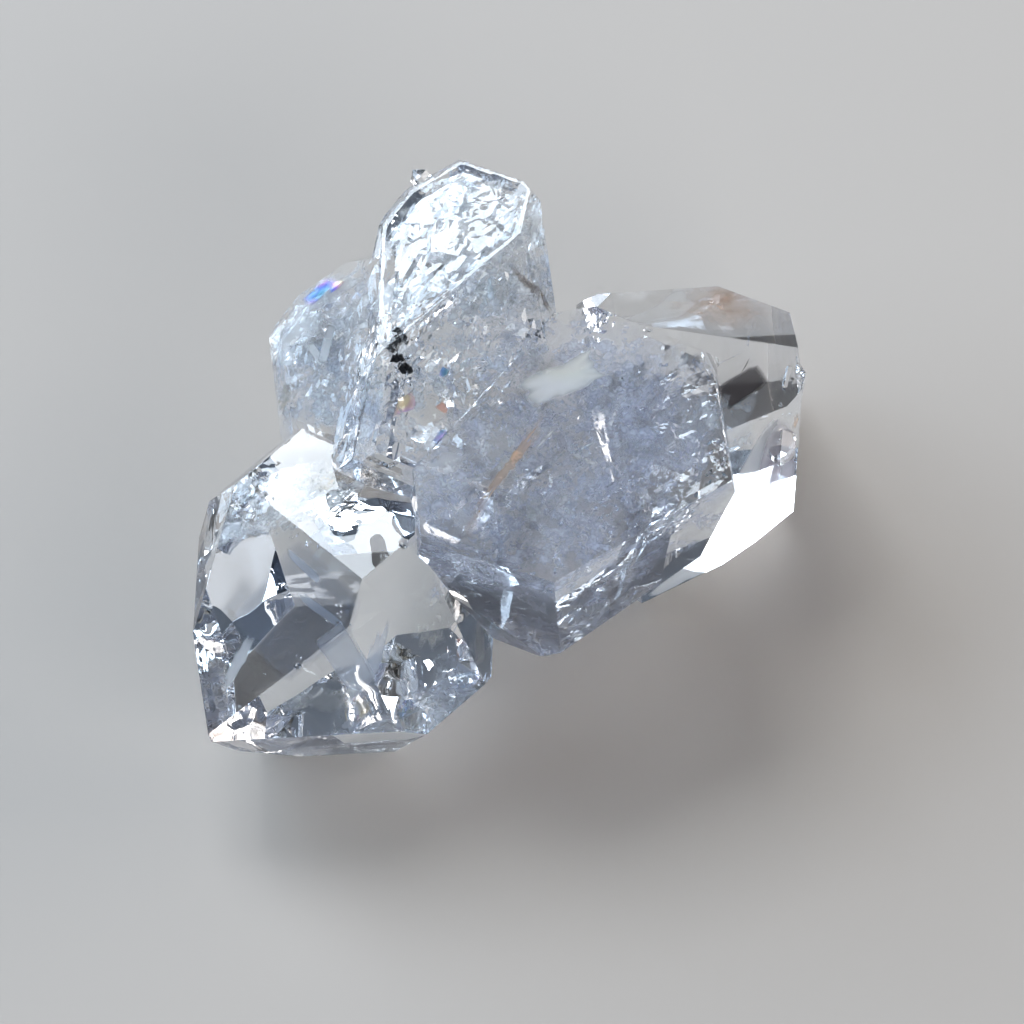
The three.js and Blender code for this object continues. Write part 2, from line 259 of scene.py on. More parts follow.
# Each veil with its place and its look. Most places are spots of the main view. The broad sheets deep
# in the milky crystal, which no one spot shows, are placed outright.
VEILS = {
    "cream veil": (Seen(563, 378, 0.2, FLAT, 24, 5.2, 2), Veil("cream", 1, 0.8, 5)),
    "tan streak": (Seen(509, 466, 0.25, FLAT, 56, 6.6, 0.9), Veil("tan", 1, 0.5, 3)),
    "low tan streak": (Seen(476, 520, 0.3, FLAT, 60, 2.6, 0.8), Veil("tan", 0.8, 0.3, 2.5)),
    "white patch": (Seen(440, 437, 0.9, FLAT, 55, 3.8, 2.1), Veil("white", 1, 0.3, 4)),
    "low white patch": (Seen(446, 462, 0.8, FLAT, 20, 2.6, 1.3), Veil("white", 1, 0.3, 4)),
    "salmon flake": (Seen(442, 407, 0.25, FLAT, 50, 0.8, 0.8), Veil("salmon", 0.9, 0.6, 5)),
    "olive streak": (Seen(286, 392, 0.25, FLAT, 62, 3.1, 0.8), Veil("olive", 0.95, 0.4, 4)),
    "arrow shaft": (Seen(326, 343, 0.2, FLAT, 76, 2.6, 0.6), Veil("white", 1, 1, 12)),
    "arrow barb": (Seen(315, 353, 0.2, FLAT, -56, 1.7, 0.6), Veil("white", 1, 1, 12)),
    "brown slit": (Seen(533, 288, 0.8, FLAT, -48, 3.6, 0.5), Veil("brown", 0.95, 0.6, 5)),
    "arc left": (Seen(400, 315, 0.7, BRIGHT, 80, 4.1, 1), Veil("white", 1, 0.5, 6)),
    "arc middle": (Seen(425, 287, 0.7, BRIGHT, 45, 3.5, 1.3), Veil("white", 1, 0.5, 6)),
    "arc right": (Seen(468, 264, 0.7, BRIGHT, 12, 3.1, 1), Veil("white", 1, 0.5, 6)),
    "head west": (Seen(430, 215, 0.9, BRIGHT, 40, 4.1, 2.6), Veil("white", 1, 0.15, 4)),
    "head north": (Seen(470, 185, 0.9, BRIGHT, 0, 4.6, 2.3), Veil("white", 1, 0.15, 4)),
    "head east": (Seen(500, 225, 1.2, BRIGHT, 70, 4.1, 2.1), Veil("white", 1, 0.1, 4)),
    "east edge": (Seen(536, 222, 0.6, BRIGHT, 75, 3.5, 1.3), Veil("white", 1, 0.3, 4)),
    "west edge": (Seen(395, 240, 0.8, BRIGHT, 60, 3.5, 1.5), Veil("white", 1, 0.2, 4)),
    "shoulder slope": (Seen(350, 320, 0.6, BRIGHT, 50, 4.6, 1.7), Veil("white", 1, 0.3, 4)),
    "shoulder top": (Seen(300, 330, 0.8, BRIGHT, 40, 3.5, 2), Veil("white", 0.8, 0.1, 4)),
    "shoulder joint": (Seen(380, 300, 0.7, BRIGHT, 55, 4.1, 1.5), Veil("white", 1, 0.4, 4)),
    "clear crystal ridge": (Seen(330, 500, 0.8, BRIGHT, 30, 5.2, 1.5), Veil("white", 1, 0.25, 4)),
    "clear crystal brow": (Seen(262, 520, 0.9, BRIGHT, 20, 4.6, 1.7), Veil("white", 1, 0.25, 4)),
    "clear crystal temple": (Seen(230, 490, 0.8, BRIGHT, 60, 3.5, 1.5), Veil("white", 0.9, 0.1, 4)),
    "clear crystal crown": (Seen(305, 475, 0.8, BRIGHT, 20, 4.6, 1.4), Veil("white", 0.9, 0.1, 4)),
    "gold stain": (Seen(325, 480, 0.6, FLAT, 10, 2.6, 1.3), Veil("gold", 1, 0.1, 4)),
    "dark shadow": (Seen(745, 385, 0.8, FLAT, 32, 3.2, 1.6), Veil("smoke", 0.95, 0.9, 12)),
    "rusty crown": (Seen(720, 305, 0.35, FLAT, 5, 7.5, 2), Veil("tan", 0.55, 0.25, 3)),
    # Painted shade: dark sheets where the clear quartz only shows dark surroundings through it.
    "painted shade tip": (Seen(500, 620, 1.5, FLAT, -20, 5.2, 2.3), Veil("smoke", 0.7, 0.1, 2)),
    "painted shade heart": (Seen(470, 600, 2.5, FLAT, -20, 5.2, 2.9), Veil("smoke", 0.6, 0.1, 2)),
    "painted shade ridge": (Seen(530, 520, 3, FLAT, 70, 3.5, 1.4), Veil("smoke", 0.7, 0.1, 3)),
    "painted shade flank": (Seen(645, 510, 1.2, FLAT, 30, 4.1, 1.7), Veil("smoke", 0.6, 0.1, 3)),
    # Painted shade: a broad dark sheet deep in the milky crystal.
    "deep painted shade": (Sheet(3.6, -2.6, 8.6, -69, 26, 90, 17, 15), Veil("smoke", 0.4, 0.6, 10)),
    "milk low": (Sheet(3.6, -3.6, 10.8, -60, 20, 30, 18, 16), Veil("milk", 0.8, 0.3, 12)),
    "milk middle": (Sheet(3.2, -3, 12.6, -76, 14, 60, 18, 16), Veil("milk", 0.8, 0.25, 12)),
    "milk high": (Sheet(3.2, -3.2, 14, -69, 16, -12, 18, 16), Veil("haze", 0.7, 0.15, 12)),
    "milk corner": (Sheet(9.2, 0.4, 13, -69, 16, 0, 9.5, 8), Veil("milk", 0.8, 0.25, 10)),
    "milk high corner": (Sheet(9.6, 0.2, 14.4, -69, 16, 0, 8, 7), Veil("haze", 0.6, 0.1, 10)),
    "milk crown": (Seen(590, 345, 1.5, FLAT, 0, 9, 4.9), Veil("milk", 0.8, 0.2, 8)),
    "milk heel": (Seen(470, 560, 1.2, FLAT, -20, 6.9, 3.4), Veil("milk", 0.7, 0.2, 8)),
    "milk west": (Seen(450, 500, 1, FLAT, 60, 8.3, 4.9), Veil("milk", 0.7, 0.2, 8)),
    "milk east": (Seen(640, 430, 0.9, FLAT, 60, 7.5, 5.2), Veil("milk", 0.7, 0.1, 4)),
    "milk south": (Seen(600, 520, 1, FLAT, 40, 9, 4.5), Veil("milk", 0.7, 0.1, 6)),
    # Painted reflection: these two crisp white sheets stand for the window's reflection inside the right
    # crystal.
    "right crystal painted reflection band": (Seen(745, 490, 0.8, FLAT, 62, 9.6, 1.2), Veil("white", 1, 0.9, 12)),
    "right crystal painted reflection foot": (Seen(690, 578, 0.8, FLAT, 38, 4.6, 1.2), Veil("white", 1, 0.9, 12)),
    "clear crystal upper bar": (Seen(303, 565, 1.2, FLAT, -42, 2.9, 0.5), Veil("ice", 0.6, 0.8, 9)),
    "clear crystal lower bar": (Seen(322, 610, 1.2, FLAT, -36, 3.2, 0.6), Veil("ice", 0.6, 0.8, 9)),
    "clear crystal slot": (Seen(240, 660, 1, FLAT, 62, 3.5, 0.7), Veil("white", 0.8, 0.7, 9)),
    # Painted shade: an even dark pane that stands for the dark surroundings seen through this facet.
    "clear crystal painted shade pane": (Seen(300, 615, 0.5, FLAT, 50, 7, 6.4), Veil("slate", 0.3, 1, 12)),
    "clear crystal pane": (Seen(345, 655, 0.6, FLAT, -60, 4.6, 2.1), Veil("ice", 0.55, 0.9, 12)),
    "clear crystal cream": (Seen(430, 620, 4, FLAT, 60, 4.1, 2.3), Veil("cream", 0.4, 0.3, 5)),
    "clear crystal base cream": (Seen(320, 700, 4, FLAT, 10, 5.2, 1.4), Veil("cream", 0.4, 0.3, 5)),
    "clear crystal rust": (Seen(215, 735, 0.15, FLAT, 10, 1.7, 0.8), Veil("tan", 0.8, 0.4, 3)),
    "right crystal lilac haze": (Seen(783, 478, 0.5, FLAT, -75, 6.3, 3), Veil("lilac", 0.95, 0.75, 6)),
    "right crystal pink haze": (Seen(760, 505, 0.4, FLAT, 58, 6.1, 1.9), Veil("lilac", 0.95, 0.75, 5)),
    "right crystal grey haze": (Seen(742, 452, 0.6, FLAT, 60, 3.5, 1.7), Veil("ice", 0.6, 0.3, 4)),
    "right crystal blue haze": (Seen(735, 420, 0.8, FLAT, 60, 4.6, 2.3), Veil("ice", 0.55, 0.3, 4)),
    "right crystal rusty spot": (Seen(800, 420, 0.4, FLAT, 80, 1.2, 0.5), Veil("tan", 0.9, 0.4, 3)),
    "tall crystal east haze": (Seen(505, 255, 0.8, FLAT, -80, 8.7, 3.5), Veil("white", 0.7, 0.25, 8)),
    "tall crystal high haze": (Seen(470, 250, 1.2, FLAT, 60, 10.3, 7.5), Veil("white", 0.7, 0.2, 10)),
    "tall crystal crown haze": (Seen(470, 215, 0.5, FLAT, 50, 8.7, 6.4), Veil("white", 0.8, 0.1, 8)),
    "tall crystal west haze": (Seen(430, 270, 0.5, FLAT, 55, 7, 3.5), Veil("white", 0.8, 0.15, 8)),
    "tall crystal low haze": (Seen(470, 330, 1.6, FLAT, 60, 9.9, 7.5), Veil("haze", 0.7, 0.25, 10)),
    "tall crystal foot haze": (Seen(399, 430, 0.6, FLAT, 40, 5.2, 4.1), Veil("haze", 0.8, 0.25, 8)),
    "tall crystal heel haze": (Seen(349, 440, 0.6, FLAT, 40, 4.1, 2.9), Veil("haze", 0.8, 0.25, 8)),
    "tall crystal edge haze": (Seen(540, 280, 0.4, FLAT, -78, 5.2, 1), Veil("white", 0.8, 0.25, 8)),
    "left shoulder joint haze": (Seen(345, 320, 0.4, FLAT, 50, 6.4, 2.9), Veil("white", 0.9, 0.25, 6)),
    "left shoulder edge haze": (Seen(300, 330, 0.4, FLAT, 60, 5.2, 2.9), Veil("white", 0.8, 0.25, 6)),
    "left shoulder high haze": (Seen(320, 350, 0.8, FLAT, 50, 9.3, 6.4), Veil("haze", 0.8, 0.3, 10)),
    "left shoulder low haze": (Seen(320, 370, 1.8, FLAT, 50, 9.3, 7), Veil("haze", 0.8, 0.35, 10)),
    "left shoulder rim": (Seen(290, 330, 0.3, FLAT, 60, 6.4, 1.7), Veil("white", 0.9, 0.4, 6)),
    "left shoulder brow": (Seen(330, 290, 0.3, FLAT, 35, 4.6, 1.7), Veil("white", 0.9, 0.4, 6)),
    "clear crystal blue bar": (Seen(372, 665, 3, FLAT, 75, 5.2, 0.9), Veil("ice", 0.6, 0.7, 8)),
    "clear crystal cheek": (Seen(230, 530, 0.8, FLAT, 40, 3.5, 1.4), Veil("white", 1, 0.3, 4)),
    "clear crystal rim": (Seen(345, 495, 0.6, FLAT, 28, 4.6, 1), Veil("white", 1, 0.4, 4)),
    "clear crystal forehead": (Seen(280, 500, 0.7, FLAT, 10, 4.1, 1.7), Veil("white", 1, 0.25, 4)),
}

# White veils with an air crack below them, by how far below in mm, and a crack that stands alone.
CRACKED_VEILS = {
    0.1: ("arc left", "arc middle", "arc right"),
    0.2: (
        "head west", "head north", "head east", "east edge", "west edge",
        "shoulder slope", "shoulder top", "shoulder joint",
        "clear crystal ridge", "clear crystal brow", "clear crystal temple", "clear crystal crown",
    ),
}
LONE_CRACK = Seen(440, 437, 1, BRIGHT, -7, 3.2, 1.6)

# First seeds of the swarms of each kind, of the ragged outlines and of the bubbles and grains.
CRACK_SEED = 20
VEIL_SEED = 40
BUBBLE_SEED = 60
HEALED_SEED = 200
FILM_SEED = 900
STREW_SEED = 11
GRAIN_SEED = 5

CRACK_SWARMS = {
    "clear crystal shoulder": Swarm(
        (-12.4, -4.8, 12.4), (3.8, 1.6, 0.9), 34, 176, 32, 16, -120, 30, 0.45, 0.6, 2.6
    ),
    "tall crystal head": Swarm(
        (-2.6, 9.6, 17.0), (3.4, 4.0, 2.0), 90, 177, 31, 9, -140, 26, 0.35, 0.6, 3.2
    ),
    "tall crystal foot": Swarm(
        (-2.8, 3.2, 15.6), (3.8, 3.0, 1.6), 90, 200, 32, 32, -140, 50, 0.45, 0.3, 1.6
    ),
    "left shoulder": Swarm(
        (-10.0, 3.8, 14.2), (3.2, 3.2, 1.8), 60, 179, 33, 12, -130, 34, 0.40, 0.5, 2.4
    ),
    "milky crystal": Swarm(
        (3.4, -3.0, 13.4), (5.4, 4.8, 1.6), 130, 190, 34, 40, -140, 50, 0.40, 0.2, 1.4
    ),
    "milky crystal tip": Swarm(
        (0.6, -7.0, 9.4), (2.6, 1.8, 2.2), 30, 190, 34, 40, 0, 90, 0.40, 0.3, 1.3
    ),
    "right crystal": Swarm(
        (14.0, 6.0, 8.4), (2.6, 2.6, 2.0), 8, 190, 34, 50, 0, 90, 0.50, 0.4, 1.2
    ),
    "milky crystal glitter": Swarm(
        (2.6, -3.6, 13.8), (6.4, 6.0, 2.0), 180, 190, 36, 40, 0, 90, 0.70, 0.12, 0.34
    ),
    "tall crystal glitter": Swarm(
        (-2.6, 3.6, 15.8), (4.4, 4.4, 2.2), 90, 190, 36, 40, 0, 90, 0.70, 0.12, 0.34
    ),
}

# Swarms of thin veils and threads, each with the name of its colour and how much it hides.
VEIL_SWARMS = {
    "milky wisps": (
        Swarm((3.4, -2.6, 12.0), (8.0, 8.0, 4.4), 40, 250, 30, 60, 0, 90, 0.6, 1.6, 5.0),
        "milk", 1.0,
    ),
    "milky threads": (
        Swarm((3.6, -3.0, 14.0), (7.4, 7.0, 2.2), 120, 250, 30, 40, -30, 50, 0.14, 0.6, 3.4),
        "white", 1.0,
    ),
    # Painted shade: dark threads that stand for the dark surroundings seen through the quartz.
    "painted shade threads": (
        Swarm((3.2, -3.6, 13.4), (6.4, 6.0, 2.4), 40, 250, 30, 40, -30, 70, 0.4, 0.6, 3.2),
        "smoke", 0.6,
    ),
    "tall crystal wisps": (
        Swarm((-2.2, 7.4, 16.0), (4.6, 7.0, 3.6), 60, 185, 34, 40, -140, 40, 0.4, 0.8, 3.6),
        "white", 1.0,
    ),
    "tall crystal crown": (
        Swarm((-2.4, 10.6, 18.0), (4.0, 3.6, 1.6), 44, 190, 24, 30, -140, 30, 0.5, 1.0, 3.4),
        "white", 1.0,
    ),
    "tall crystal milk": (
        Swarm((-2.2, 6.6, 14.6), (4.6, 6.6, 4.0), 24, 250, 24, 40, 0, 90, 0.7, 2.0, 6.0),
        "ice", 1.0,
    ),
    "tall crystal east": (
        Swarm((1.8, 7.4, 16.4), (1.4, 5.4, 3.4), 36, 200, 30, 40, -140, 40, 0.5, 0.8, 3.2),
        "white", 1.0,
    ),
    "left shoulder wisps": (
        Swarm((-9.8, 4.0, 14.0), (3.6, 4.4, 3.2), 50, 180, 34, 40, -130, 40, 0.4, 0.8, 3.0),
        "white", 1.0,
    ),
    "left shoulder milk": (
        Swarm((-9.8, 4.0, 13.2), (3.4, 4.2, 3.4), 18, 250, 24, 40, 0, 90, 0.7, 2.0, 5.0),
        "ice", 1.0,
    ),
    "left shoulder rim": (
        Swarm((-11.6, 6.4, 14.0), (2.4, 2.8, 2.6), 36, 190, 34, 40, -130, 40, 0.5, 0.8, 3.0),
        "white", 1.0,
    ),
    "clear crystal wisps": (
        Swarm((-12.2, -4.7, 12.8), (3.8, 1.8, 1.0), 44, 176, 34, 30, -120, 40, 0.4, 0.8, 3.0),
        "white", 1.0,
    ),
    "right crystal wisps": (
        Swarm((14.0, 6.0, 9.4), (4.0, 4.0, 3.0), 10, 176, 34, 50, -120, 40, 0.4, 0.8, 3.0),
        "ice", 0.6,
    ),
}

# Healed cracks that carry bubbles.
BUBBLE_SWARMS = {
    "milky crystal": Swarm((3.0, -3.4, 13.2), (4.8, 4.4, 1.8), 18, 250, 25, 50, 0, 90, 0.7, 2.0, 5.0),
    "tall crystal": Swarm((-2.8, 4.6, 15.6), (3.0, 4.6, 1.6), 9, 200, 30, 50, 0, 90, 0.7, 2.0, 4.0),
    "left shoulder": Swarm((-9.8, 3.2, 13.8), (2.4, 2.4, 1.4), 5, 180, 30, 50, 0, 90, 0.7, 2.0, 3.0),
    "clear crystal": Swarm((-10.0, -8.0, 10.0), (4.0, 3.4, 2.4), 2, 180, 30, 50, 0, 90, 0.7, 1.4, 3.0),
}

# Rings and spokes of a sheet for each mm of its length, and the fewest and most that it gets.
RINGS_PER_MM = 1.8
SPOKES_PER_MM = 6.0
RING_LIMITS = (2, 9)
SPOKE_LIMITS = (7, 40)


def clamped(value, low, high):
    """The value, held between two limits."""
    return min(max(value, low), high)


def grid_counts(sheet):
    """Rings and spokes that suit the size of a sheet."""
    rings = clamped(round(sheet.length * RINGS_PER_MM), *RING_LIMITS)
    spokes = clamped(round(sheet.length * SPOKES_PER_MM), *SPOKE_LIMITS)
    return rings, spokes


def quartz_tree():
    """A search tree of the packed cluster's surface."""
    work = bmesh.new()
    work.from_mesh(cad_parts[CLUSTER_NODE].data)
    tree = BVHTree.FromBMesh(work)
    work.free()
    return tree


PAST_SURFACE = 1e-7  # step in metres that takes a ray off the face it has just hit
NEARLY_UP = Vector((0.003, 0.002, 1.0))  # off the vertical, so that it meets no upright face edge-on


def is_inside(tree, point):
    """True where a line up from the point crosses the surface an odd number of times."""
    up = NEARLY_UP.normalized()
    crossings = 0
    start = point.copy()
    while True:
        place = tree.ray_cast(start, up)[0]
        if place is None:
            break
        crossings += 1
        start = place + up * PAST_SURFACE
    return crossings % 2 == 1


def sheet_axes(sheet):
    """Length, width and face directions of a sheet."""
    azimuth = math.radians(sheet.azimuth)
    tilt = math.radians(sheet.tilt)
    face = Vector((
        math.sin(tilt) * math.cos(azimuth),
        math.sin(tilt) * math.sin(azimuth),
        math.cos(tilt),
    ))
    across = Vector((-math.sin(azimuth), math.cos(azimuth), 0.0))
    along = across.cross(face)
    spin = Matrix.Rotation(-math.radians(sheet.spin), 3, face)
    return spin @ across, spin @ along, face


def bent_ray(ray, normal):
    """Direction of a line of sight once it has entered the quartz."""
    squeeze = 1.0 / bpy.context.scene.herkimer_crystal.refraction
    straight = -ray.dot(normal)
    inner = math.sqrt(1.0 - squeeze ** 2 * (1.0 - straight ** 2))
    return squeeze * ray + (squeeze * straight - inner) * normal


def seen_surface(spot, tree):
    """The point of the quartz, and its facing, that the main view shows at a spot."""
    right = (spot.column - VIEW_COLUMNS / 2.0) * VIEW_WIDTH / VIEW_COLUMNS
    down = (spot.row - VIEW_COLUMNS / 2.0) * VIEW_WIDTH / VIEW_COLUMNS
    start = VIEW_TARGET + right * VIEW_RIGHT - down * VIEW_UP - VIEW_WIDTH * VIEW_FORWARD
    surface, normal = tree.ray_cast(start, VIEW_FORWARD)[:2]
    if surface is None:
        raise ValueError(f"the main view shows no quartz at column {spot.column}, row {spot.row}")
    return surface, normal


def seen_sheet(seen, tree):
    """The sheet in the quartz that the main view shows at a spot."""
    surface, normal = seen_surface(seen, tree)
    ray = bent_ray(VIEW_FORWARD, normal)
    centre = surface / MM + ray * seen.depth
    face = normal if seen.lies == FLAT else (BRIGHT_SIDE - ray).normalized()
    if face.z < 0.0:
        face = -face
    slant = math.radians(seen.slant)
    long_seen = math.cos(slant) * VIEW_RIGHT + math.sin(slant) * VIEW_UP
    wide_seen = math.cos(slant) * VIEW_UP - math.sin(slant) * VIEW_RIGHT
    long_axis = long_seen - VIEW_FORWARD * (long_seen.dot(face) / VIEW_FORWARD.dot(face))
    stretch = long_axis.length
    long_axis = long_axis / stretch
    squash = max(abs(face.cross(long_axis).dot(wide_seen)), STEEPEST_SQUASH)
    azimuth = math.atan2(face.y, face.x)
    across = Vector((-math.sin(azimuth), math.cos(azimuth), 0.0))
    spin = math.atan2(long_axis.dot(across.cross(face)), long_axis.dot(across))
    angles = (math.degrees(angle) for angle in (azimuth, math.acos(face.z), spin))
    return Sheet(*centre, *angles, seen.length * stretch, seen.width / squash)


def sheet_of(place, tree):
    """The sheet at a place, worked out from its spot unless it is placed outright."""
    return seen_sheet(place, tree) if isinstance(place, Seen) else place


def lowered(sheet, drop):
    """The same sheet, lower by a drop in mm."""
    return sheet._replace(z=sheet.z - drop)


# How much further the azimuth of a swarm's sheets wanders than their tilt, and the narrowest and
# widest of them beside the mean width.
AZIMUTH_WANDER = 1.6
WIDTH_SPREAD = (0.6, 1.4)


def swarm_sheets(swarm, seed):
    """The sheets of a swarm, the same each time for the same seed."""
    draw = np.random.default_rng(seed)
    sheets = []
    for number in range(swarm.count):
        shift = draw.uniform(-1.0, 1.0, 3) * np.array(swarm.spread)
        length = draw.uniform(swarm.short, swarm.long)
        sheets.append(Sheet(
            *(np.array(swarm.centre) + shift),
            swarm.azimuth + draw.uniform(-AZIMUTH_WANDER, AZIMUTH_WANDER) * swarm.wander,
            swarm.tilt + draw.uniform(-1.0, 1.0) * swarm.wander,
            swarm.spin + draw.uniform(-1.0, 1.0) * swarm.sway,
            length,
            length * swarm.slim * draw.uniform(*WIDTH_SPREAD),
        ))
    return sheets


def all_sheets(swarms, first_seed):
    """The sheets of several swarms, one swarm after the other."""
    sheets = []
    for number, swarm in enumerate(swarms.values()):
        sheets += swarm_sheets(swarm, first_seed + number)
    return sheets


def crack_sheets(tree):
    """Every air crack: those below veils, the one that stands alone, and the swarms."""
    sheets = []
    for drop, names in CRACKED_VEILS.items():
        sheets += [lowered(sheet_of(VEILS[name][0], tree), drop) for name in names]
    sheets.append(seen_sheet(LONE_CRACK, tree))
    return sheets + all_sheets(CRACK_SWARMS, CRACK_SEED)


# Shares of a broad and a fine unevenness in a ragged outline, the outline's mean reach, and the
# powers that make it round or all but square.
RAGGED_SHARE = 0.55
JAGGED_SHARE = 0.45
MEAN_REACH = 0.95
ROUND_POWER = 2.0
SQUARE_POWER = 10.0


def sheet_grid(sheet, tree, skin, seed, squareness=0.0):
    """Ring and spoke points of a ragged sheet held inside the quartz, or None outside it."""
    centre = Vector((sheet.x, sheet.y, sheet.z)) * MM
    if not is_inside(tree, centre):
        return None
    long_axis, wide_axis, face = sheet_axes(sheet)
    rings, spokes = grid_counts(sheet)
    power = ROUND_POWER + (SQUARE_POWER - ROUND_POWER) * squareness
    outline = []
    for spoke in range(spokes):
        angle = 2.0 * math.pi * spoke / spokes
        along = math.cos(angle)
        across = math.sin(angle)
        fullness = (abs(along) ** power + abs(across) ** power) ** (-1.0 / power)
        reach = long_axis * along * sheet.length / 2.0 + wide_axis * across * sheet.width / 2.0
        ragged = noise.noise(Vector((along * 1.4, across * 1.4, seed * 3.7)))
        jagged = noise.noise(Vector((spoke * 7.3, seed * 1.9, 0.5)))
        unevenness = (RAGGED_SHARE * ragged + JAGGED_SHARE * jagged) * (1.0 - squareness)
        reach = reach * MM * fullness * (MEAN_REACH + unevenness)
        direction = reach.normalized()
        limit = tree.ray_cast(centre, direction)[3]
        distance = reach.length
        if limit is not None:
            distance = min(distance, max(limit - skin, 0.0))
        outline.append(direction * distance)
    rows = []
    for ring in range(1, rings + 1):
        rows.append([centre + edge * (ring / rings) for edge in outline])
    return centre, rows, face


# Broad swells and fine hackle on a crack: their length and height beside those of its ripples.
SWELL_LENGTH = 2.3
SWELL_HEIGHT = 1.6
HACKLE_LENGTH = 0.45
HACKLE_HEIGHT = 0.6


def ripple(place, length, height):
    """How far a point of a crack stands off its plane."""
    swell = noise.noise(place / (length * SWELL_LENGTH))
    fine = noise.noise(place / length + Vector((7.0, 3.0, 1.0)))
    hackle = abs(noise.noise(place / (length * HACKLE_LENGTH) + Vector((2.0, 9.0, 4.0))))
    return height * (SWELL_HEIGHT * swell + fine + HACKLE_HEIGHT * hackle)


def add_crack(work, sheet, tree, settings, seed):
    """Adds an air crack to the quartz mesh: two facing walls that meet along the rim."""
    grid = sheet_grid(sheet, tree, settings.skin_depth, seed)
    if grid is None:
        return
    centre, rows, face = grid

    def point_at(place, offset):
        lift = ripple(place, settings.ripple_length, settings.crack_waviness)
        return work.verts.new(place + face * (lift + offset))

    walls = []
    for side in (1.0, -1.0):
        middle = point_at(centre, side * settings.crack_gap / 2.0)
        wall = []
        for ring, row in enumerate(rows[:-1], 1):
            gap = settings.crack_gap / 2.0 * (1.0 - (ring / len(rows)) ** 4)
            wall.append([point_at(place, side * gap) for place in row])
        walls.append((middle, wall, side))
    rim = [point_at(place, 0.0) for place in rows[-1]]
    slot = BROKEN_SLOT if seed % 3 == 2 else CLEAR_SLOT
    for middle, wall, side in walls:
        fan(work, middle, wall + [rim], side < 0.0, slot)
    for start, end in zip(rim, rim[1:] + rim[:1]):
        work.edges.get((start, end)).smooth = False


def fan(work, middle, circles, face_up, slot=CLEAR_SLOT):
    """Faces of a disc of ring and spoke points."""

    def add_face(*corners):
        face = work.faces.new(corners if face_up else corners[::-1])
        face.smooth = True
        face.material_index = slot

    spokes = len(circles[0])
    for spoke in range(spokes):
        following = (spoke + 1) % spokes
        add_face(middle, circles[0][spoke], circles[0][following])
        for inner, outer in zip(circles, circles[1:]):
            add_face(inner[spoke], outer[spoke], outer[following], inner[following])


CLOUD_SIZE = 2.6 * MM  # size of the clouds in broad veils and of the drift in their colour
CLOUD_MEAN = 0.75
CLOUD_SWING = 1.2
THINNEST_CLOUD = 0.30
CLOUDY_FROM = 7.0  # length in mm from which a veil grows cloudy
CLOUDY_SPAN = 6.0  # and how much longer a fully cloudy veil is
TINT_DRIFT = 0.18
BRIGHTEST_TINT = 0.99
VEIL_BEND = 0.06  # how far a veil bends, as a share of its length
VEIL_WAVE = 0.6  # and the length of that bend


def add_veil(work, sheet, veil, tree, skin, seed, layers):
    """Adds one thin sheet with its colour and how much each point of it hides."""
    grid = sheet_grid(sheet, tree, skin, seed, max(veil.body - 0.5, 0.0) * 2.0)
    if grid is None:
        return
    centre, rows, face = grid
    tint_layer, cover_layer = layers
    tint = getattr(bpy.context.scene.herkimer_colours, veil.tint)
    size = sheet.length * MM
    bend = VEIL_BEND * size
    wave = VEIL_WAVE * size
    cloudy = clamped((sheet.length - CLOUDY_FROM) / CLOUDY_SPAN, 0.0, 1.0)

    def point_at(place, fade):
        vert = work.verts.new(place + face * bend * noise.noise(place / wave))
        drift = 1.0 + TINT_DRIFT * noise.noise(place / CLOUD_SIZE + Vector((9.0, 4.0, 2.0)))
        cloud = CLOUD_MEAN + CLOUD_SWING * noise.noise(place / CLOUD_SIZE)
        thick = 1.0 + cloudy * (clamped(cloud, THINNEST_CLOUD, 1.0) - 1.0)
        vert[tint_layer] = opaque(min(part * drift, BRIGHTEST_TINT) for part in tint)
        vert[cover_layer] = (fade * veil.strength * thick, veil.body, 0.0, 1.0)
        return vert

    middle = point_at(centre, 1.0)
    circles = []
    for ring, row in enumerate(rows, 1):
        fade = 1.0 - (ring / len(rows)) ** veil.crisp
        circles.append([point_at(point, fade) for point in row])
    fan(work, middle, circles, True)


def veils_mesh(name, veils, tree, skin, first_seed):
    """One mesh of thin veils, each given as its sheet and its look."""
    mesh = bpy.data.meshes.new(name)
    work = bmesh.new()
    colours = work.verts.layers.float_color
    layers = (colours.new("tint"), colours.new("cover"))
    for number, (sheet, veil) in enumerate(veils):
        add_veil(work, sheet, veil, tree, skin, first_seed + number, layers)
    work.to_mesh(mesh)
    work.free()
    return mesh


def as_threads(sheets, tint, strength):
    """Sheets with the wispy look of a thread."""
    return [(sheet, Veil(tint, strength, THREAD_BODY, THREAD_CRISP)) for sheet in sheets]


# Smallest and largest bubble beside the bubble size: the largest is a little flat.
SMALLEST_BUBBLE = (0.22, 0.22, 0.22)
LARGEST_BUBBLE = (1.0, 1.0, 0.8)


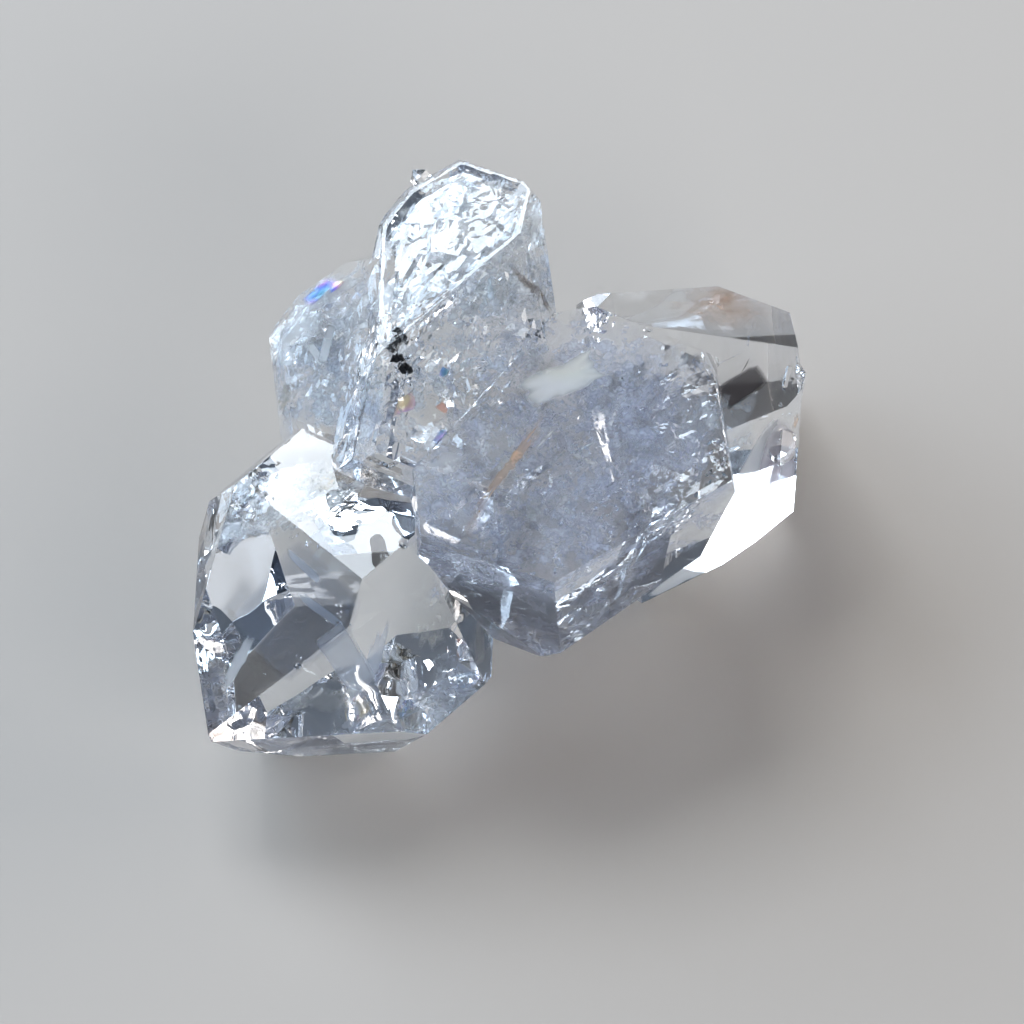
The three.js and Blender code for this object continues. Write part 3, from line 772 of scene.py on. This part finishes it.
def bubble_tree(material):
    """Geometry Nodes that strew round bubbles over healed cracks."""
    inputs = {"Geometry": "Geometry", "Density": "Float", "Largest radius": "Float", "Seed": "Int"}
    tree, start = new_group("bubbles in healed cracks", "GeometryNodeTree", inputs, "Geometry")
    points = add_node(tree, "GeometryNodeDistributePointsOnFaces", {
        "Mesh": start["Geometry"], "Density": start["Density"], "Seed": start["Seed"],
    })
    ball = add_node(tree, "GeometryNodeMeshIcoSphere", {
        "Subdivisions": 1, "Radius": start["Largest radius"],
    })
    flip = add_node(tree, "GeometryNodeFlipFaces", {"Mesh": ball.outputs["Mesh"]})
    size = add_node(tree, "FunctionNodeRandomValue", {
        "Min": SMALLEST_BUBBLE, "Max": LARGEST_BUBBLE, "Seed": start["Seed"],
    }, data_type="FLOAT_VECTOR")
    place = add_node(tree, "GeometryNodeInstanceOnPoints", {
        "Points": points.outputs["Points"], "Instance": flip.outputs["Mesh"],
        "Rotation": points.outputs["Rotation"], "Scale": size.outputs["Value"],
    })
    real = add_node(tree, "GeometryNodeRealizeInstances", {"Geometry": place.outputs["Instances"]})
    smooth = add_node(tree, "GeometryNodeSetShadeSmooth", {"Geometry": real.outputs["Geometry"]})
    finish = add_node(tree, "GeometryNodeSetMaterial", {
        "Geometry": smooth.outputs["Geometry"], "Material": material,
    })
    add_node(tree, "NodeGroupOutput", {"Geometry": finish.outputs["Geometry"]})
    return tree


def bubbles_mesh(settings, tree, material):
    """Bubbles along the healed cracks, as one plain mesh with walls that face into each bubble."""
    skin = settings.skin_depth + settings.bubble_size
    healed = as_threads(all_sheets(BUBBLE_SWARMS, BUBBLE_SEED), "white", 1.0)
    holder = add_object("healed cracks", veils_mesh("healed cracks", healed, tree, skin, HEALED_SEED))
    strew = holder.modifiers.new("bubbles", "NODES")
    strew.node_group = bubble_tree(material)
    sockets = {socket.name: socket.identifier for socket in strew.node_group.interface.items_tree}
    strew[sockets["Density"]] = settings.bubble_density
    strew[sockets["Largest radius"]] = settings.bubble_size
    strew[sockets["Seed"]] = STREW_SEED
    view = bpy.context.evaluated_depsgraph_get()
    mesh = bpy.data.meshes.new_from_object(holder.evaluated_get(view))
    holder.modifiers.clear()
    bpy.data.objects.remove(holder)
    return mesh


# ---------------------------------------------------------------- crystal


def glassy_material(name, settings, stains, roughness, relief, strength, depth):
    """Quartz: plain transmission, refraction, stains, a relief and a faint tint with depth."""
    material = new_material(name)
    tree = material.node_tree
    bump = add_node(tree, "ShaderNodeBump", {
        "Height": add_noise(tree, *relief), "Strength": strength, "Distance": depth,
    })
    absorption = add_node(tree, "ShaderNodeVolumeAbsorption", {
        "Color": opaque(settings.depth_tint), "Density": settings.depth_tint_density,
    })
    return finish_material(material, {
        "Base Color": stained_colour(tree, stains),
        "Metallic": 0.0,
        "Roughness": roughness,
        "IOR": settings.refraction,
        "Transmission Weight": 1.0,
        "Normal": bump.outputs["Normal"],
    }, absorption.outputs["Volume"])


# The scale and detail of the noise in the two kinds of quartz, and the relief of broken ground.
GROWTH_NOISE = (420.0, 0.0)
GRIT_NOISE = (5200.0, 1.0)
GRIT_STRENGTH = 0.5
GRIT_DEPTH = 0.05 * MM


def quartz_material(settings, stains):
    """Whole crystal faces: mirror smooth, with faint growth ripples."""
    ripples = settings.growth_ripple
    return glassy_material("clear quartz", settings, stains, 0.0, GROWTH_NOISE, 1.0, ripples)


def broken_quartz_material(settings, stains):
    """Broken and etched quartz: finely matt, with a gritty bump."""
    matt = settings.broken_roughness
    return glassy_material("broken quartz", settings, stains, matt, GRIT_NOISE, GRIT_STRENGTH, GRIT_DEPTH)


# A rusty stain on the crystal faces: the column and row where the main view shows it, and its
# radius in mm.
Stain = namedtuple("Stain", "column row radius")

STAIN_MOTTLE = 1100.0

STAINS = {
    "front tip": Stain(212, 736, 2.2),
    "right crystal crown": Stain(735, 293, 3.4),
}


def stain_group(settings):
    """A colour that turns rusty towards a point, broken up by noise."""
    inputs = {"Color": "Color", "Centre": "Vector", "Radius": "Float"}
    group, start = new_group("rusty stain", "ShaderNodeTree", inputs, "Color")
    place = add_node(group, "ShaderNodeTexCoord", {}).outputs["Object"]
    apart = add_node(group, "ShaderNodeVectorMath", {0: place, 1: start["Centre"]}, operation="DISTANCE")
    near = add_node(group, "ShaderNodeMapRange", {
        "Value": apart.outputs["Value"], "From Max": start["Radius"], "To Min": 1.0, "To Max": 0.0,
    }, interpolation_type="SMOOTHSTEP")
    mottle = add_noise(group, STAIN_MOTTLE, 0.0)
    amount = add_node(group, "ShaderNodeMath", {0: near.outputs["Result"], 1: mottle}, operation="MULTIPLY")
    blend = add_node(group, "ShaderNodeMixRGB", {
        "Fac": amount.outputs["Value"], "Color1": start["Color"], "Color2": opaque(settings.stain_colour),
    })
    add_node(group, "NodeGroupOutput", {"Color": blend.outputs["Color"]})
    return group


def stained_colour(tree, stains):
    """White quartz with a rusty stain at each place."""
    group, places = stains
    colour = opaque((1.0, 1.0, 1.0))
    for centre, radius in places:
        stain = tree.nodes.new("ShaderNodeGroup")
        stain.node_tree = group
        set_inputs(tree, stain, {"Color": colour, "Centre": centre, "Radius": radius})
        colour = stain.outputs["Color"]
    return colour


# A patch of roughened surface: its centre and radius in mm, the depth of its relief, the size of its
# grains and the length of its finest edges in mm, and how long its grains are drawn out.
Patch = namedtuple("Patch", "centre radius depth grain edge stretch")

ROUGH_PATCHES = {
    "etched corner": Patch((11.4, -1.2, 15.3), 4.0, 0.13, 0.46, 0.21, 2.2),
    "etched heel": Patch((9.6, -6.2, 13.9), 2.4, 0.09, 0.44, 0.23, 2.2),
    "etched crown": Patch((6.6, 3.4, 16.6), 2.6, 0.06, 0.44, 0.25, 2.2),
    "tall crystal head": Patch((-2.4, 10.4, 18.8), 5.0, 0.05, 0.64, 0.34, 2.0),
    "tall crystal foot": Patch((-3.0, 2.4, 17.8), 5.4, 0.09, 0.54, 0.28, 1.6),
    "left shoulder": Patch((-10.8, 3.4, 15.6), 4.4, 0.07, 0.54, 0.29, 1.6),
    "clear crystal shoulder": Patch((-14.6, -4.6, 13.6), 2.2, 0.05, 0.50, 0.29, 1.6),
    "right crystal edge": Patch((17.0, 4.4, 9.6), 2.4, 0.06, 0.50, 0.29, 1.6),
}
GRAIN_DIRECTION = Vector((0.72, 0.57, 0.40)).normalized()

# Faces smaller than this are broken or etched ground.
BROKEN_FACE_AREA = 0.55 * MM * MM

MOST_SPLITS = 12  # how often a patch is split at most
EDGE_SLACK = 1.5  # how much longer than its finest edges an edge may stay
RIM_SLOPE = 2.5  # how steeply the relief deepens from the rim inwards
COARSE_SINK = 1.3  # how deep the coarse grains sink
FINE_SINK = 0.7  # and the fine ones
FINE_GRAIN = 0.45  # size of the fine grains beside the coarse ones


def is_broken(face):
    """True for the small faces of broken and etched ground."""
    return face.calc_area() < BROKEN_FACE_AREA


def refine_patch(work, patch):
    """Splits the faces of a patch until its edges are fine enough for its grains."""
    centre = Vector(patch.centre) * MM
    radius = patch.radius * MM
    fine = patch.edge * MM
    for step in range(MOST_SPLITS):
        long_edges = []
        for edge in work.edges:
            length = edge.calc_length()
            middle = (edge.verts[0].co + edge.verts[1].co) / 2.0
            if length > fine * EDGE_SLACK and (middle - centre).length < radius + length / 2.0:
                long_edges.append(edge)
        if not long_edges:
            break
        bmesh.ops.subdivide_edges(work, edges=long_edges, cuts=1)
        open_faces = [face for face in work.faces if len(face.verts) > 3]
        near = [face for face in open_faces if is_near(face, centre, radius)]
        bmesh.ops.triangulate(work, faces=near)


def is_near(face, centre, radius):
    """True where a face reaches into a ball."""
    middle = face.calc_center_bounds()
    reach = max((vert.co - middle).length for vert in face.verts)
    return (middle - centre).length < radius + reach


def roughen_patch(work, patch):
    """Sinks drawn-out grains into a patch, deepest at its middle."""
    centre = Vector(patch.centre) * MM
    radius = patch.radius * MM
    grain = patch.grain * MM
    moves = []
    for vert in work.verts:
        nearness = 1.0 - (vert.co - centre).length / radius
        if nearness <= 0.0:
            continue
        along = vert.co.dot(GRAIN_DIRECTION)
        drawn = vert.co - GRAIN_DIRECTION * along * (1.0 - 1.0 / patch.stretch)
        coarse = abs(noise.noise(drawn / grain))
        fine = abs(noise.noise(drawn / (grain * FINE_GRAIN) + Vector((3.0, 5.0, 7.0))))
        sink = COARSE_SINK * coarse + FINE_SINK * fine
        sink = patch.depth * MM * min(nearness * RIM_SLOPE, 1.0) * sink
        moves.append((vert, -vert.normal * sink))
    for vert, move in moves:
        vert.co += move


SAME_CORNER = 0.002 * MM
SAME_FACET = math.radians(1.0)


def cluster_mesh(settings):
    """The packed cluster with merged corners, whole facets, worn edges and finer broken ground."""
    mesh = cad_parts[CLUSTER_NODE].data.copy()
    work = bmesh.new()
    work.from_mesh(mesh)
    bmesh.ops.remove_doubles(work, verts=work.verts, dist=SAME_CORNER)
    bmesh.ops.dissolve_limit(work, angle_limit=SAME_FACET, verts=work.verts, edges=work.edges)
    worn = []
    for edge in work.edges:
        whole = len(edge.link_faces) == 2 and not any(is_broken(face) for face in edge.link_faces)
        if whole and edge.calc_face_angle() > settings.sharp_edge_angle:
            worn.append(edge)
    bmesh.ops.bevel(
        work, geom=worn, offset=settings.edge_wear, offset_type="OFFSET", segments=1, profile=0.5,
        affect="EDGES", clamp_overlap=True,
    )
    for patch in ROUGH_PATCHES.values():
        refine_patch(work, patch)
    work.normal_update()
    for patch in ROUGH_PATCHES.values():
        roughen_patch(work, patch)
    for face in work.faces:
        rough = is_broken(face) and len(face.verts) == 3
        face.material_index = BROKEN_SLOT if rough else CLEAR_SLOT
    work.to_mesh(mesh)
    work.free()
    mesh.materials.clear()
    return mesh


class HERKIMER_OT_crystals(bpy.types.Operator):
    """Builds the grown-together crystals with the air cracks and bubbles inside them"""

    bl_idname = "herkimer.crystals"
    bl_label = "Crystals"

    def execute(self, context):
        settings = context.scene.herkimer_crystal
        inclusions = context.scene.herkimer_inclusions
        tree = quartz_tree()
        places = [(seen_surface(spot, tree)[0], spot.radius * MM) for spot in STAINS.values()]
        stains = (stain_group(settings), places)
        material = quartz_material(settings, stains)
        mesh = cluster_mesh(settings)
        mesh.materials.append(material)
        mesh.materials.append(broken_quartz_material(settings, stains))
        work = bmesh.new()
        work.from_mesh(mesh)
        work.from_mesh(bubbles_mesh(inclusions, tree, material))
        for number, sheet in enumerate(crack_sheets(tree)):
            add_crack(work, sheet, tree, inclusions, number)
        work.to_mesh(mesh)
        work.free()
        piece = add_object("crystals", mesh)
        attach(piece, "root")
        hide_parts(CLUSTER_NODE)
        return {"FINISHED"}


def cover_parts(tree):
    """Red, how much a veil hides, and green, how even it is."""
    cover = add_node(tree, "ShaderNodeAttribute", {}, attribute_name="cover")
    return add_node(tree, "ShaderNodeSeparateColor", {"Color": cover.outputs["Color"]}).outputs


# Noise in the wispy veils (scale, detail and roughness), and where it starts to hide and fully hides.
WISP_NOISE = (900.0, 3.0, 0.72)
WISP_START = 0.36
WISP_FULL = 0.76


def veil_material():
    """Wispy milky veil that thins out towards its rim."""
    material = new_material("milky veil")
    tree = material.node_tree
    tint = add_node(tree, "ShaderNodeAttribute", {}, attribute_name="tint")
    parts = cover_parts(tree)
    thin = add_node(tree, "ShaderNodeMapRange", {
        "Value": add_noise(tree, *WISP_NOISE), "From Min": WISP_START, "From Max": WISP_FULL,
    }, interpolation_type="SMOOTHSTEP")
    even = add_node(tree, "ShaderNodeMath", {
        0: thin.outputs["Result"], 1: parts["Green"],
    }, operation="MAXIMUM")
    hide = add_node(tree, "ShaderNodeMath", {
        0: even.outputs["Value"], 1: parts["Red"],
    }, operation="MULTIPLY")
    return finish_material(material, {
        "Base Color": tint.outputs["Color"],
        "Alpha": hide.outputs["Value"],
        "Roughness": 0.9,
        "Specular IOR Level": 0.0,
    })


class HERKIMER_OT_veils(bpy.types.Operator):
    """Builds the milky veils inside the crystals"""

    bl_idname = "herkimer.veils"
    bl_label = "Milky veils"

    def execute(self, context):
        skin = context.scene.herkimer_inclusions.skin_depth
        tree = quartz_tree()
        veils = [(sheet_of(place, tree), veil) for place, veil in VEILS.values()]
        for number, (swarm, tint, strength) in enumerate(VEIL_SWARMS.values()):
            veils += as_threads(swarm_sheets(swarm, VEIL_SEED + number), tint, strength)
        mesh = veils_mesh("milky veils", veils, tree, skin, 0)
        mesh.materials.append(veil_material())
        piece = add_object("milky_veils", mesh)
        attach(piece, "root")
        return {"FINISHED"}


RAINBOW_NOISE = (620.0, 1.0)

# Colours of the films, each with the noise value that it stands at.
RAINBOW = (
    (0.34, (0.25, 0.70, 0.95)),
    (0.42, (0.20, 0.38, 0.98)),
    (0.50, (0.52, 0.34, 0.96)),
    (0.58, (0.97, 0.55, 0.80)),
    (0.66, (0.98, 0.82, 0.50)),
)


def rainbow_material():
    """Thin air film with the colours of interference, drifting along it."""
    material = new_material("rainbow film")
    tree = material.node_tree
    bands = add_node(tree, "ShaderNodeValToRGB", {"Fac": add_noise(tree, *RAINBOW_NOISE)})
    stops = bands.color_ramp.elements
    for number, (position, colour) in enumerate(RAINBOW):
        stop = stops[number] if number < len(stops) else stops.new(position)
        stop.position = position
        stop.color = opaque(colour)
    return finish_material(material, {
        "Base Color": bands.outputs["Color"],
        "Alpha": cover_parts(tree)["Red"],
        "Metallic": 1.0,
        "Roughness": 0.35,
    })


FILMS = {
    "tall crystal foot rainbow": (Seen(405, 405, 0.25, FLAT, 20, 1.6, 1.2), Veil("white", 0.85, 1, 3)),
    "tall crystal waist rainbow": (Seen(444, 372, 0.25, FLAT, 60, 0.8, 0.6), Veil("white", 0.85, 1, 3)),
    "left shoulder west rainbow": (Seen(318, 290, 0.2, FLAT, 45, 2.2, 0.8), Veil("white", 0.8, 1, 3)),
    "left shoulder east rainbow": (Seen(335, 285, 0.2, FLAT, 60, 1, 0.7), Veil("white", 0.75, 1, 3)),
    "milky crystal west rainbow": (Seen(440, 437, 0.65, FLAT, 55, 1.3, 0.6), Veil("white", 0.7, 1, 3)),
}


class HERKIMER_OT_films(bpy.types.Operator):
    """Builds the rainbow-coloured air films inside the crystals"""

    bl_idname = "herkimer.films"
    bl_label = "Rainbow films"

    def execute(self, context):
        skin = context.scene.herkimer_inclusions.skin_depth
        tree = quartz_tree()
        films = [(sheet_of(place, tree), film) for place, film in FILMS.values()]
        mesh = veils_mesh("rainbow films", films, tree, skin, FILM_SEED)
        mesh.materials.append(rainbow_material())
        piece = add_object("rainbow_films", mesh)
        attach(piece, "root")
        return {"FINISHED"}


SKIN_NOISE = (9000.0, 3.0)
SHINIEST = 0.15
DULLEST = 0.6


def grain_material(settings):
    """Black glossy hydrocarbon with a rough broken skin."""
    material = new_material("black grains")
    tree = material.node_tree
    shine = add_node(tree, "ShaderNodeMapRange", {
        "Value": add_noise(tree, *SKIN_NOISE), "To Min": SHINIEST, "To Max": DULLEST,
    })
    return finish_material(material, {
        "Base Color": opaque(settings.grain_colour), "Roughness": shine.outputs["Result"],
    })


# Clumps of black grains: centre in mm, spread in mm, how many and the radius of the largest in mm.
Clump = namedtuple("Clump", "centre spread count size")

GRAIN_CLUMPS = (
    Clump((-6.00, 2.50, 18.45), (0.30, 0.36, 0.12), 10, 0.34),
    Clump((-6.70, 2.00, 18.30), (0.70, 0.20, 0.10), 9, 0.24),
    Clump((-6.00, 1.40, 18.10), (0.70, 0.20, 0.10), 10, 0.28),
    Clump((-5.70, 0.80, 17.85), (0.30, 0.22, 0.10), 7, 0.34),
    Clump((2.00, 4.60, 15.80), (0.60, 0.55, 0.25), 16, 0.16),
    Clump((-10.40, -4.30, 13.60), (1.60, 1.10, 0.15), 14, 0.13),
    Clump((7.20, 1.60, 15.40), (1.60, 1.60, 0.40), 8, 0.08),
)


# Mean reach of a grain, and how far its roughness and its flats push it out.
LUMP_REACH = 0.8
LUMP_ROUGHNESS = 0.5
LUMP_FLATS = 0.15


def add_grain(work, centre, size, seed):
    """Adds one angular lump."""
    turn = Matrix.Rotation(seed * 1.9, 4, Vector((0.3, 0.8, 0.5)).normalized())
    lump = bmesh.ops.create_icosphere(work, subdivisions=2, radius=1.0, matrix=turn)
    for vert in lump["verts"]:
        rough = noise.noise(vert.co * 1.3 + Vector((seed * 5.1, 0.0, 0.0)))
        edge = noise.cell(vert.co * 2.1 + Vector((0.0, seed * 2.3, 0.0)))
        reach = LUMP_REACH + LUMP_ROUGHNESS * rough + LUMP_FLATS * edge
        vert.co = centre + vert.co * size * reach


class HERKIMER_OT_grains(bpy.types.Operator):
    """Builds the black hydrocarbon grains inside the crystals"""

    bl_idname = "herkimer.grains"
    bl_label = "Black grains"

    def execute(self, context):
        inclusions = context.scene.herkimer_inclusions
        draw = np.random.default_rng(GRAIN_SEED)
        mesh = bpy.data.meshes.new("black grains")
        work = bmesh.new()
        seed = 0
        for clump in GRAIN_CLUMPS:
            for number in range(clump.count):
                shift = draw.normal(0.0, 0.5, 3) * np.array(clump.spread)
                size = clump.size * draw.uniform(0.4, 1.0) * MM
                centre = (Vector(clump.centre) + Vector(shift)) * MM
                add_grain(work, centre, size, seed)
                seed += 1
        work.to_mesh(mesh)
        work.free()
        mesh.materials.append(grain_material(inclusions))
        piece = add_object("black_grains", mesh)
        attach(piece, "root")
        return {"FINISHED"}


# ---------------------------------------------------------------- stage


# A soft rectangular light: its place, width and height in metres, its power in watts and its colour.
Light = namedtuple("Light", "place width height power colour")

LIGHTS = {
    "window": Light((-0.52, 0.28, 0.28), 0.90, 0.44, 7.0, (0.66, 0.82, 1.0)),
    "back window": Light((-0.18, 0.40, 0.49), 0.28, 0.26, 2.4, (0.84, 0.92, 1.0)),
    "rim": Light((0.50, 0.20, 0.20), 0.40, 0.26, 1.6, (1.0, 0.95, 0.90)),
    "fill": Light((0.30, -0.46, 0.26), 0.46, 0.30, 1.6, (0.94, 0.97, 1.0)),
}
LIGHT_TARGET = Vector((0.0, 0.0, 10.0 * MM))
SKY_COLOUR = (0.62, 0.74, 0.92)
SKY_STRENGTH = 0.16
SENSOR_WIDTH = 36.0


def add_light(name, light):
    """Adds a light that faces the middle of the cluster."""
    data = bpy.data.lights.new(name, "AREA")
    data.shape = "RECTANGLE"
    data.size = light.width
    data.size_y = light.height
    data.energy = light.power
    data.color = light.colour
    lamp = add_object(name, data)
    lamp.location = light.place
    lamp.rotation_euler = (LIGHT_TARGET - Vector(light.place)).to_track_quat("-Z", "Y").to_euler()


def floor_material(settings):
    """Plain pale floor."""
    return finish_material(new_material("pale floor"), {
        "Base Color": opaque(settings.floor_colour), "Roughness": 0.75, "Specular IOR Level": 0.2,
    })


def add_floor(settings):
    """A square floor, a film of air below the cluster."""
    half = settings.floor_size / 2.0
    low = -settings.air_film
    corners = [(-half, -half, low), (half, -half, low), (half, half, low), (-half, half, low)]
    mesh = bpy.data.meshes.new("floor")
    mesh.from_pydata(corners, [], [(0, 1, 2, 3)])
    mesh.materials.append(floor_material(settings))
    return add_object("floor", mesh)


def add_sky(scene):
    """Faint cool light from all round."""
    scene.world = bpy.data.worlds.new("studio air")
    scene.world.use_nodes = True
    background = scene.world.node_tree.nodes["Background"]
    background.inputs["Color"].default_value = opaque(SKY_COLOUR)
    background.inputs["Strength"].default_value = SKY_STRENGTH


def add_camera(scene, settings):
    """The camera of the main view."""
    elevation = settings.camera_elevation
    away = Vector((0.0, -math.cos(elevation), math.sin(elevation)))
    lens = bpy.data.cameras.new("camera")
    lens.sensor_width = SENSOR_WIDTH
    lens.lens = SENSOR_WIDTH * settings.camera_distance / settings.view_width
    lens.clip_start = 0.01
    camera = add_object("camera", lens)
    camera.location = VIEW_TARGET + away * settings.camera_distance
    camera.rotation_euler = (math.pi / 2.0 - elevation, 0.0, 0.0)
    scene.camera = camera


def set_light_paths(scene):
    """How often light is followed through the quartz and its veils, and how it is shown."""
    scene.cycles.max_bounces = 10
    scene.cycles.transmission_bounces = 10
    scene.cycles.glossy_bounces = 10
    scene.cycles.diffuse_bounces = 3
    scene.cycles.transparent_max_bounces = 14
    scene.view_settings.view_transform = "Standard"
    scene.view_settings.look = "Medium High Contrast"


class HERKIMER_OT_stage(bpy.types.Operator):
    """Lays the plain floor and sets the soft lights and the camera"""

    bl_idname = "herkimer.stage"
    bl_label = "Stage"

    def execute(self, context):
        settings = context.scene.herkimer_stage
        floor = add_floor(settings)
        for name, light in LIGHTS.items():
            add_light(name, light)
        add_sky(context.scene)
        add_camera(context.scene, settings)
        set_light_paths(context.scene)
        return {"FINISHED"}


# ---------------------------------------------------------------- add-on


OPERATORS = (
    HERKIMER_OT_crystals,
    HERKIMER_OT_veils,
    HERKIMER_OT_films,
    HERKIMER_OT_grains,
    HERKIMER_OT_stage,
)


class HERKIMER_PT_panel(bpy.types.Panel):
    """Lists the cluster's settings and the steps that build it"""

    bl_idname = "HERKIMER_PT_panel"
    bl_label = "Herkimer Diamond Cluster"
    bl_space_type = "VIEW_3D"
    bl_region_type = "UI"
    bl_category = "Herkimer"

    def draw(self, context):
        for group_name, group in SETTINGS.items():
            box = self.layout.box()
            box.label(text=group.__doc__)
            for setting in group.__annotations__:
                box.prop(getattr(context.scene, group_name), setting)
        for operator in OPERATORS:
            self.layout.operator(operator.bl_idname)


def register():
    for group_name, group in SETTINGS.items():
        bpy.utils.register_class(group)
        setattr(bpy.types.Scene, group_name, bpy.props.PointerProperty(type=group))
    for operator in OPERATORS:
        bpy.utils.register_class(operator)
    bpy.utils.register_class(HERKIMER_PT_panel)


def unregister():
    bpy.utils.unregister_class(HERKIMER_PT_panel)
    for operator in reversed(OPERATORS):
        bpy.utils.unregister_class(operator)
    for group_name, group in reversed(SETTINGS.items()):
        delattr(bpy.types.Scene, group_name)
        bpy.utils.unregister_class(group)


def main():
    register()
    bpy.ops.herkimer.crystals()
    bpy.ops.herkimer.veils()
    bpy.ops.herkimer.films()
    bpy.ops.herkimer.grains()
    bpy.ops.herkimer.stage()


if __name__ == "__main__":
    main()
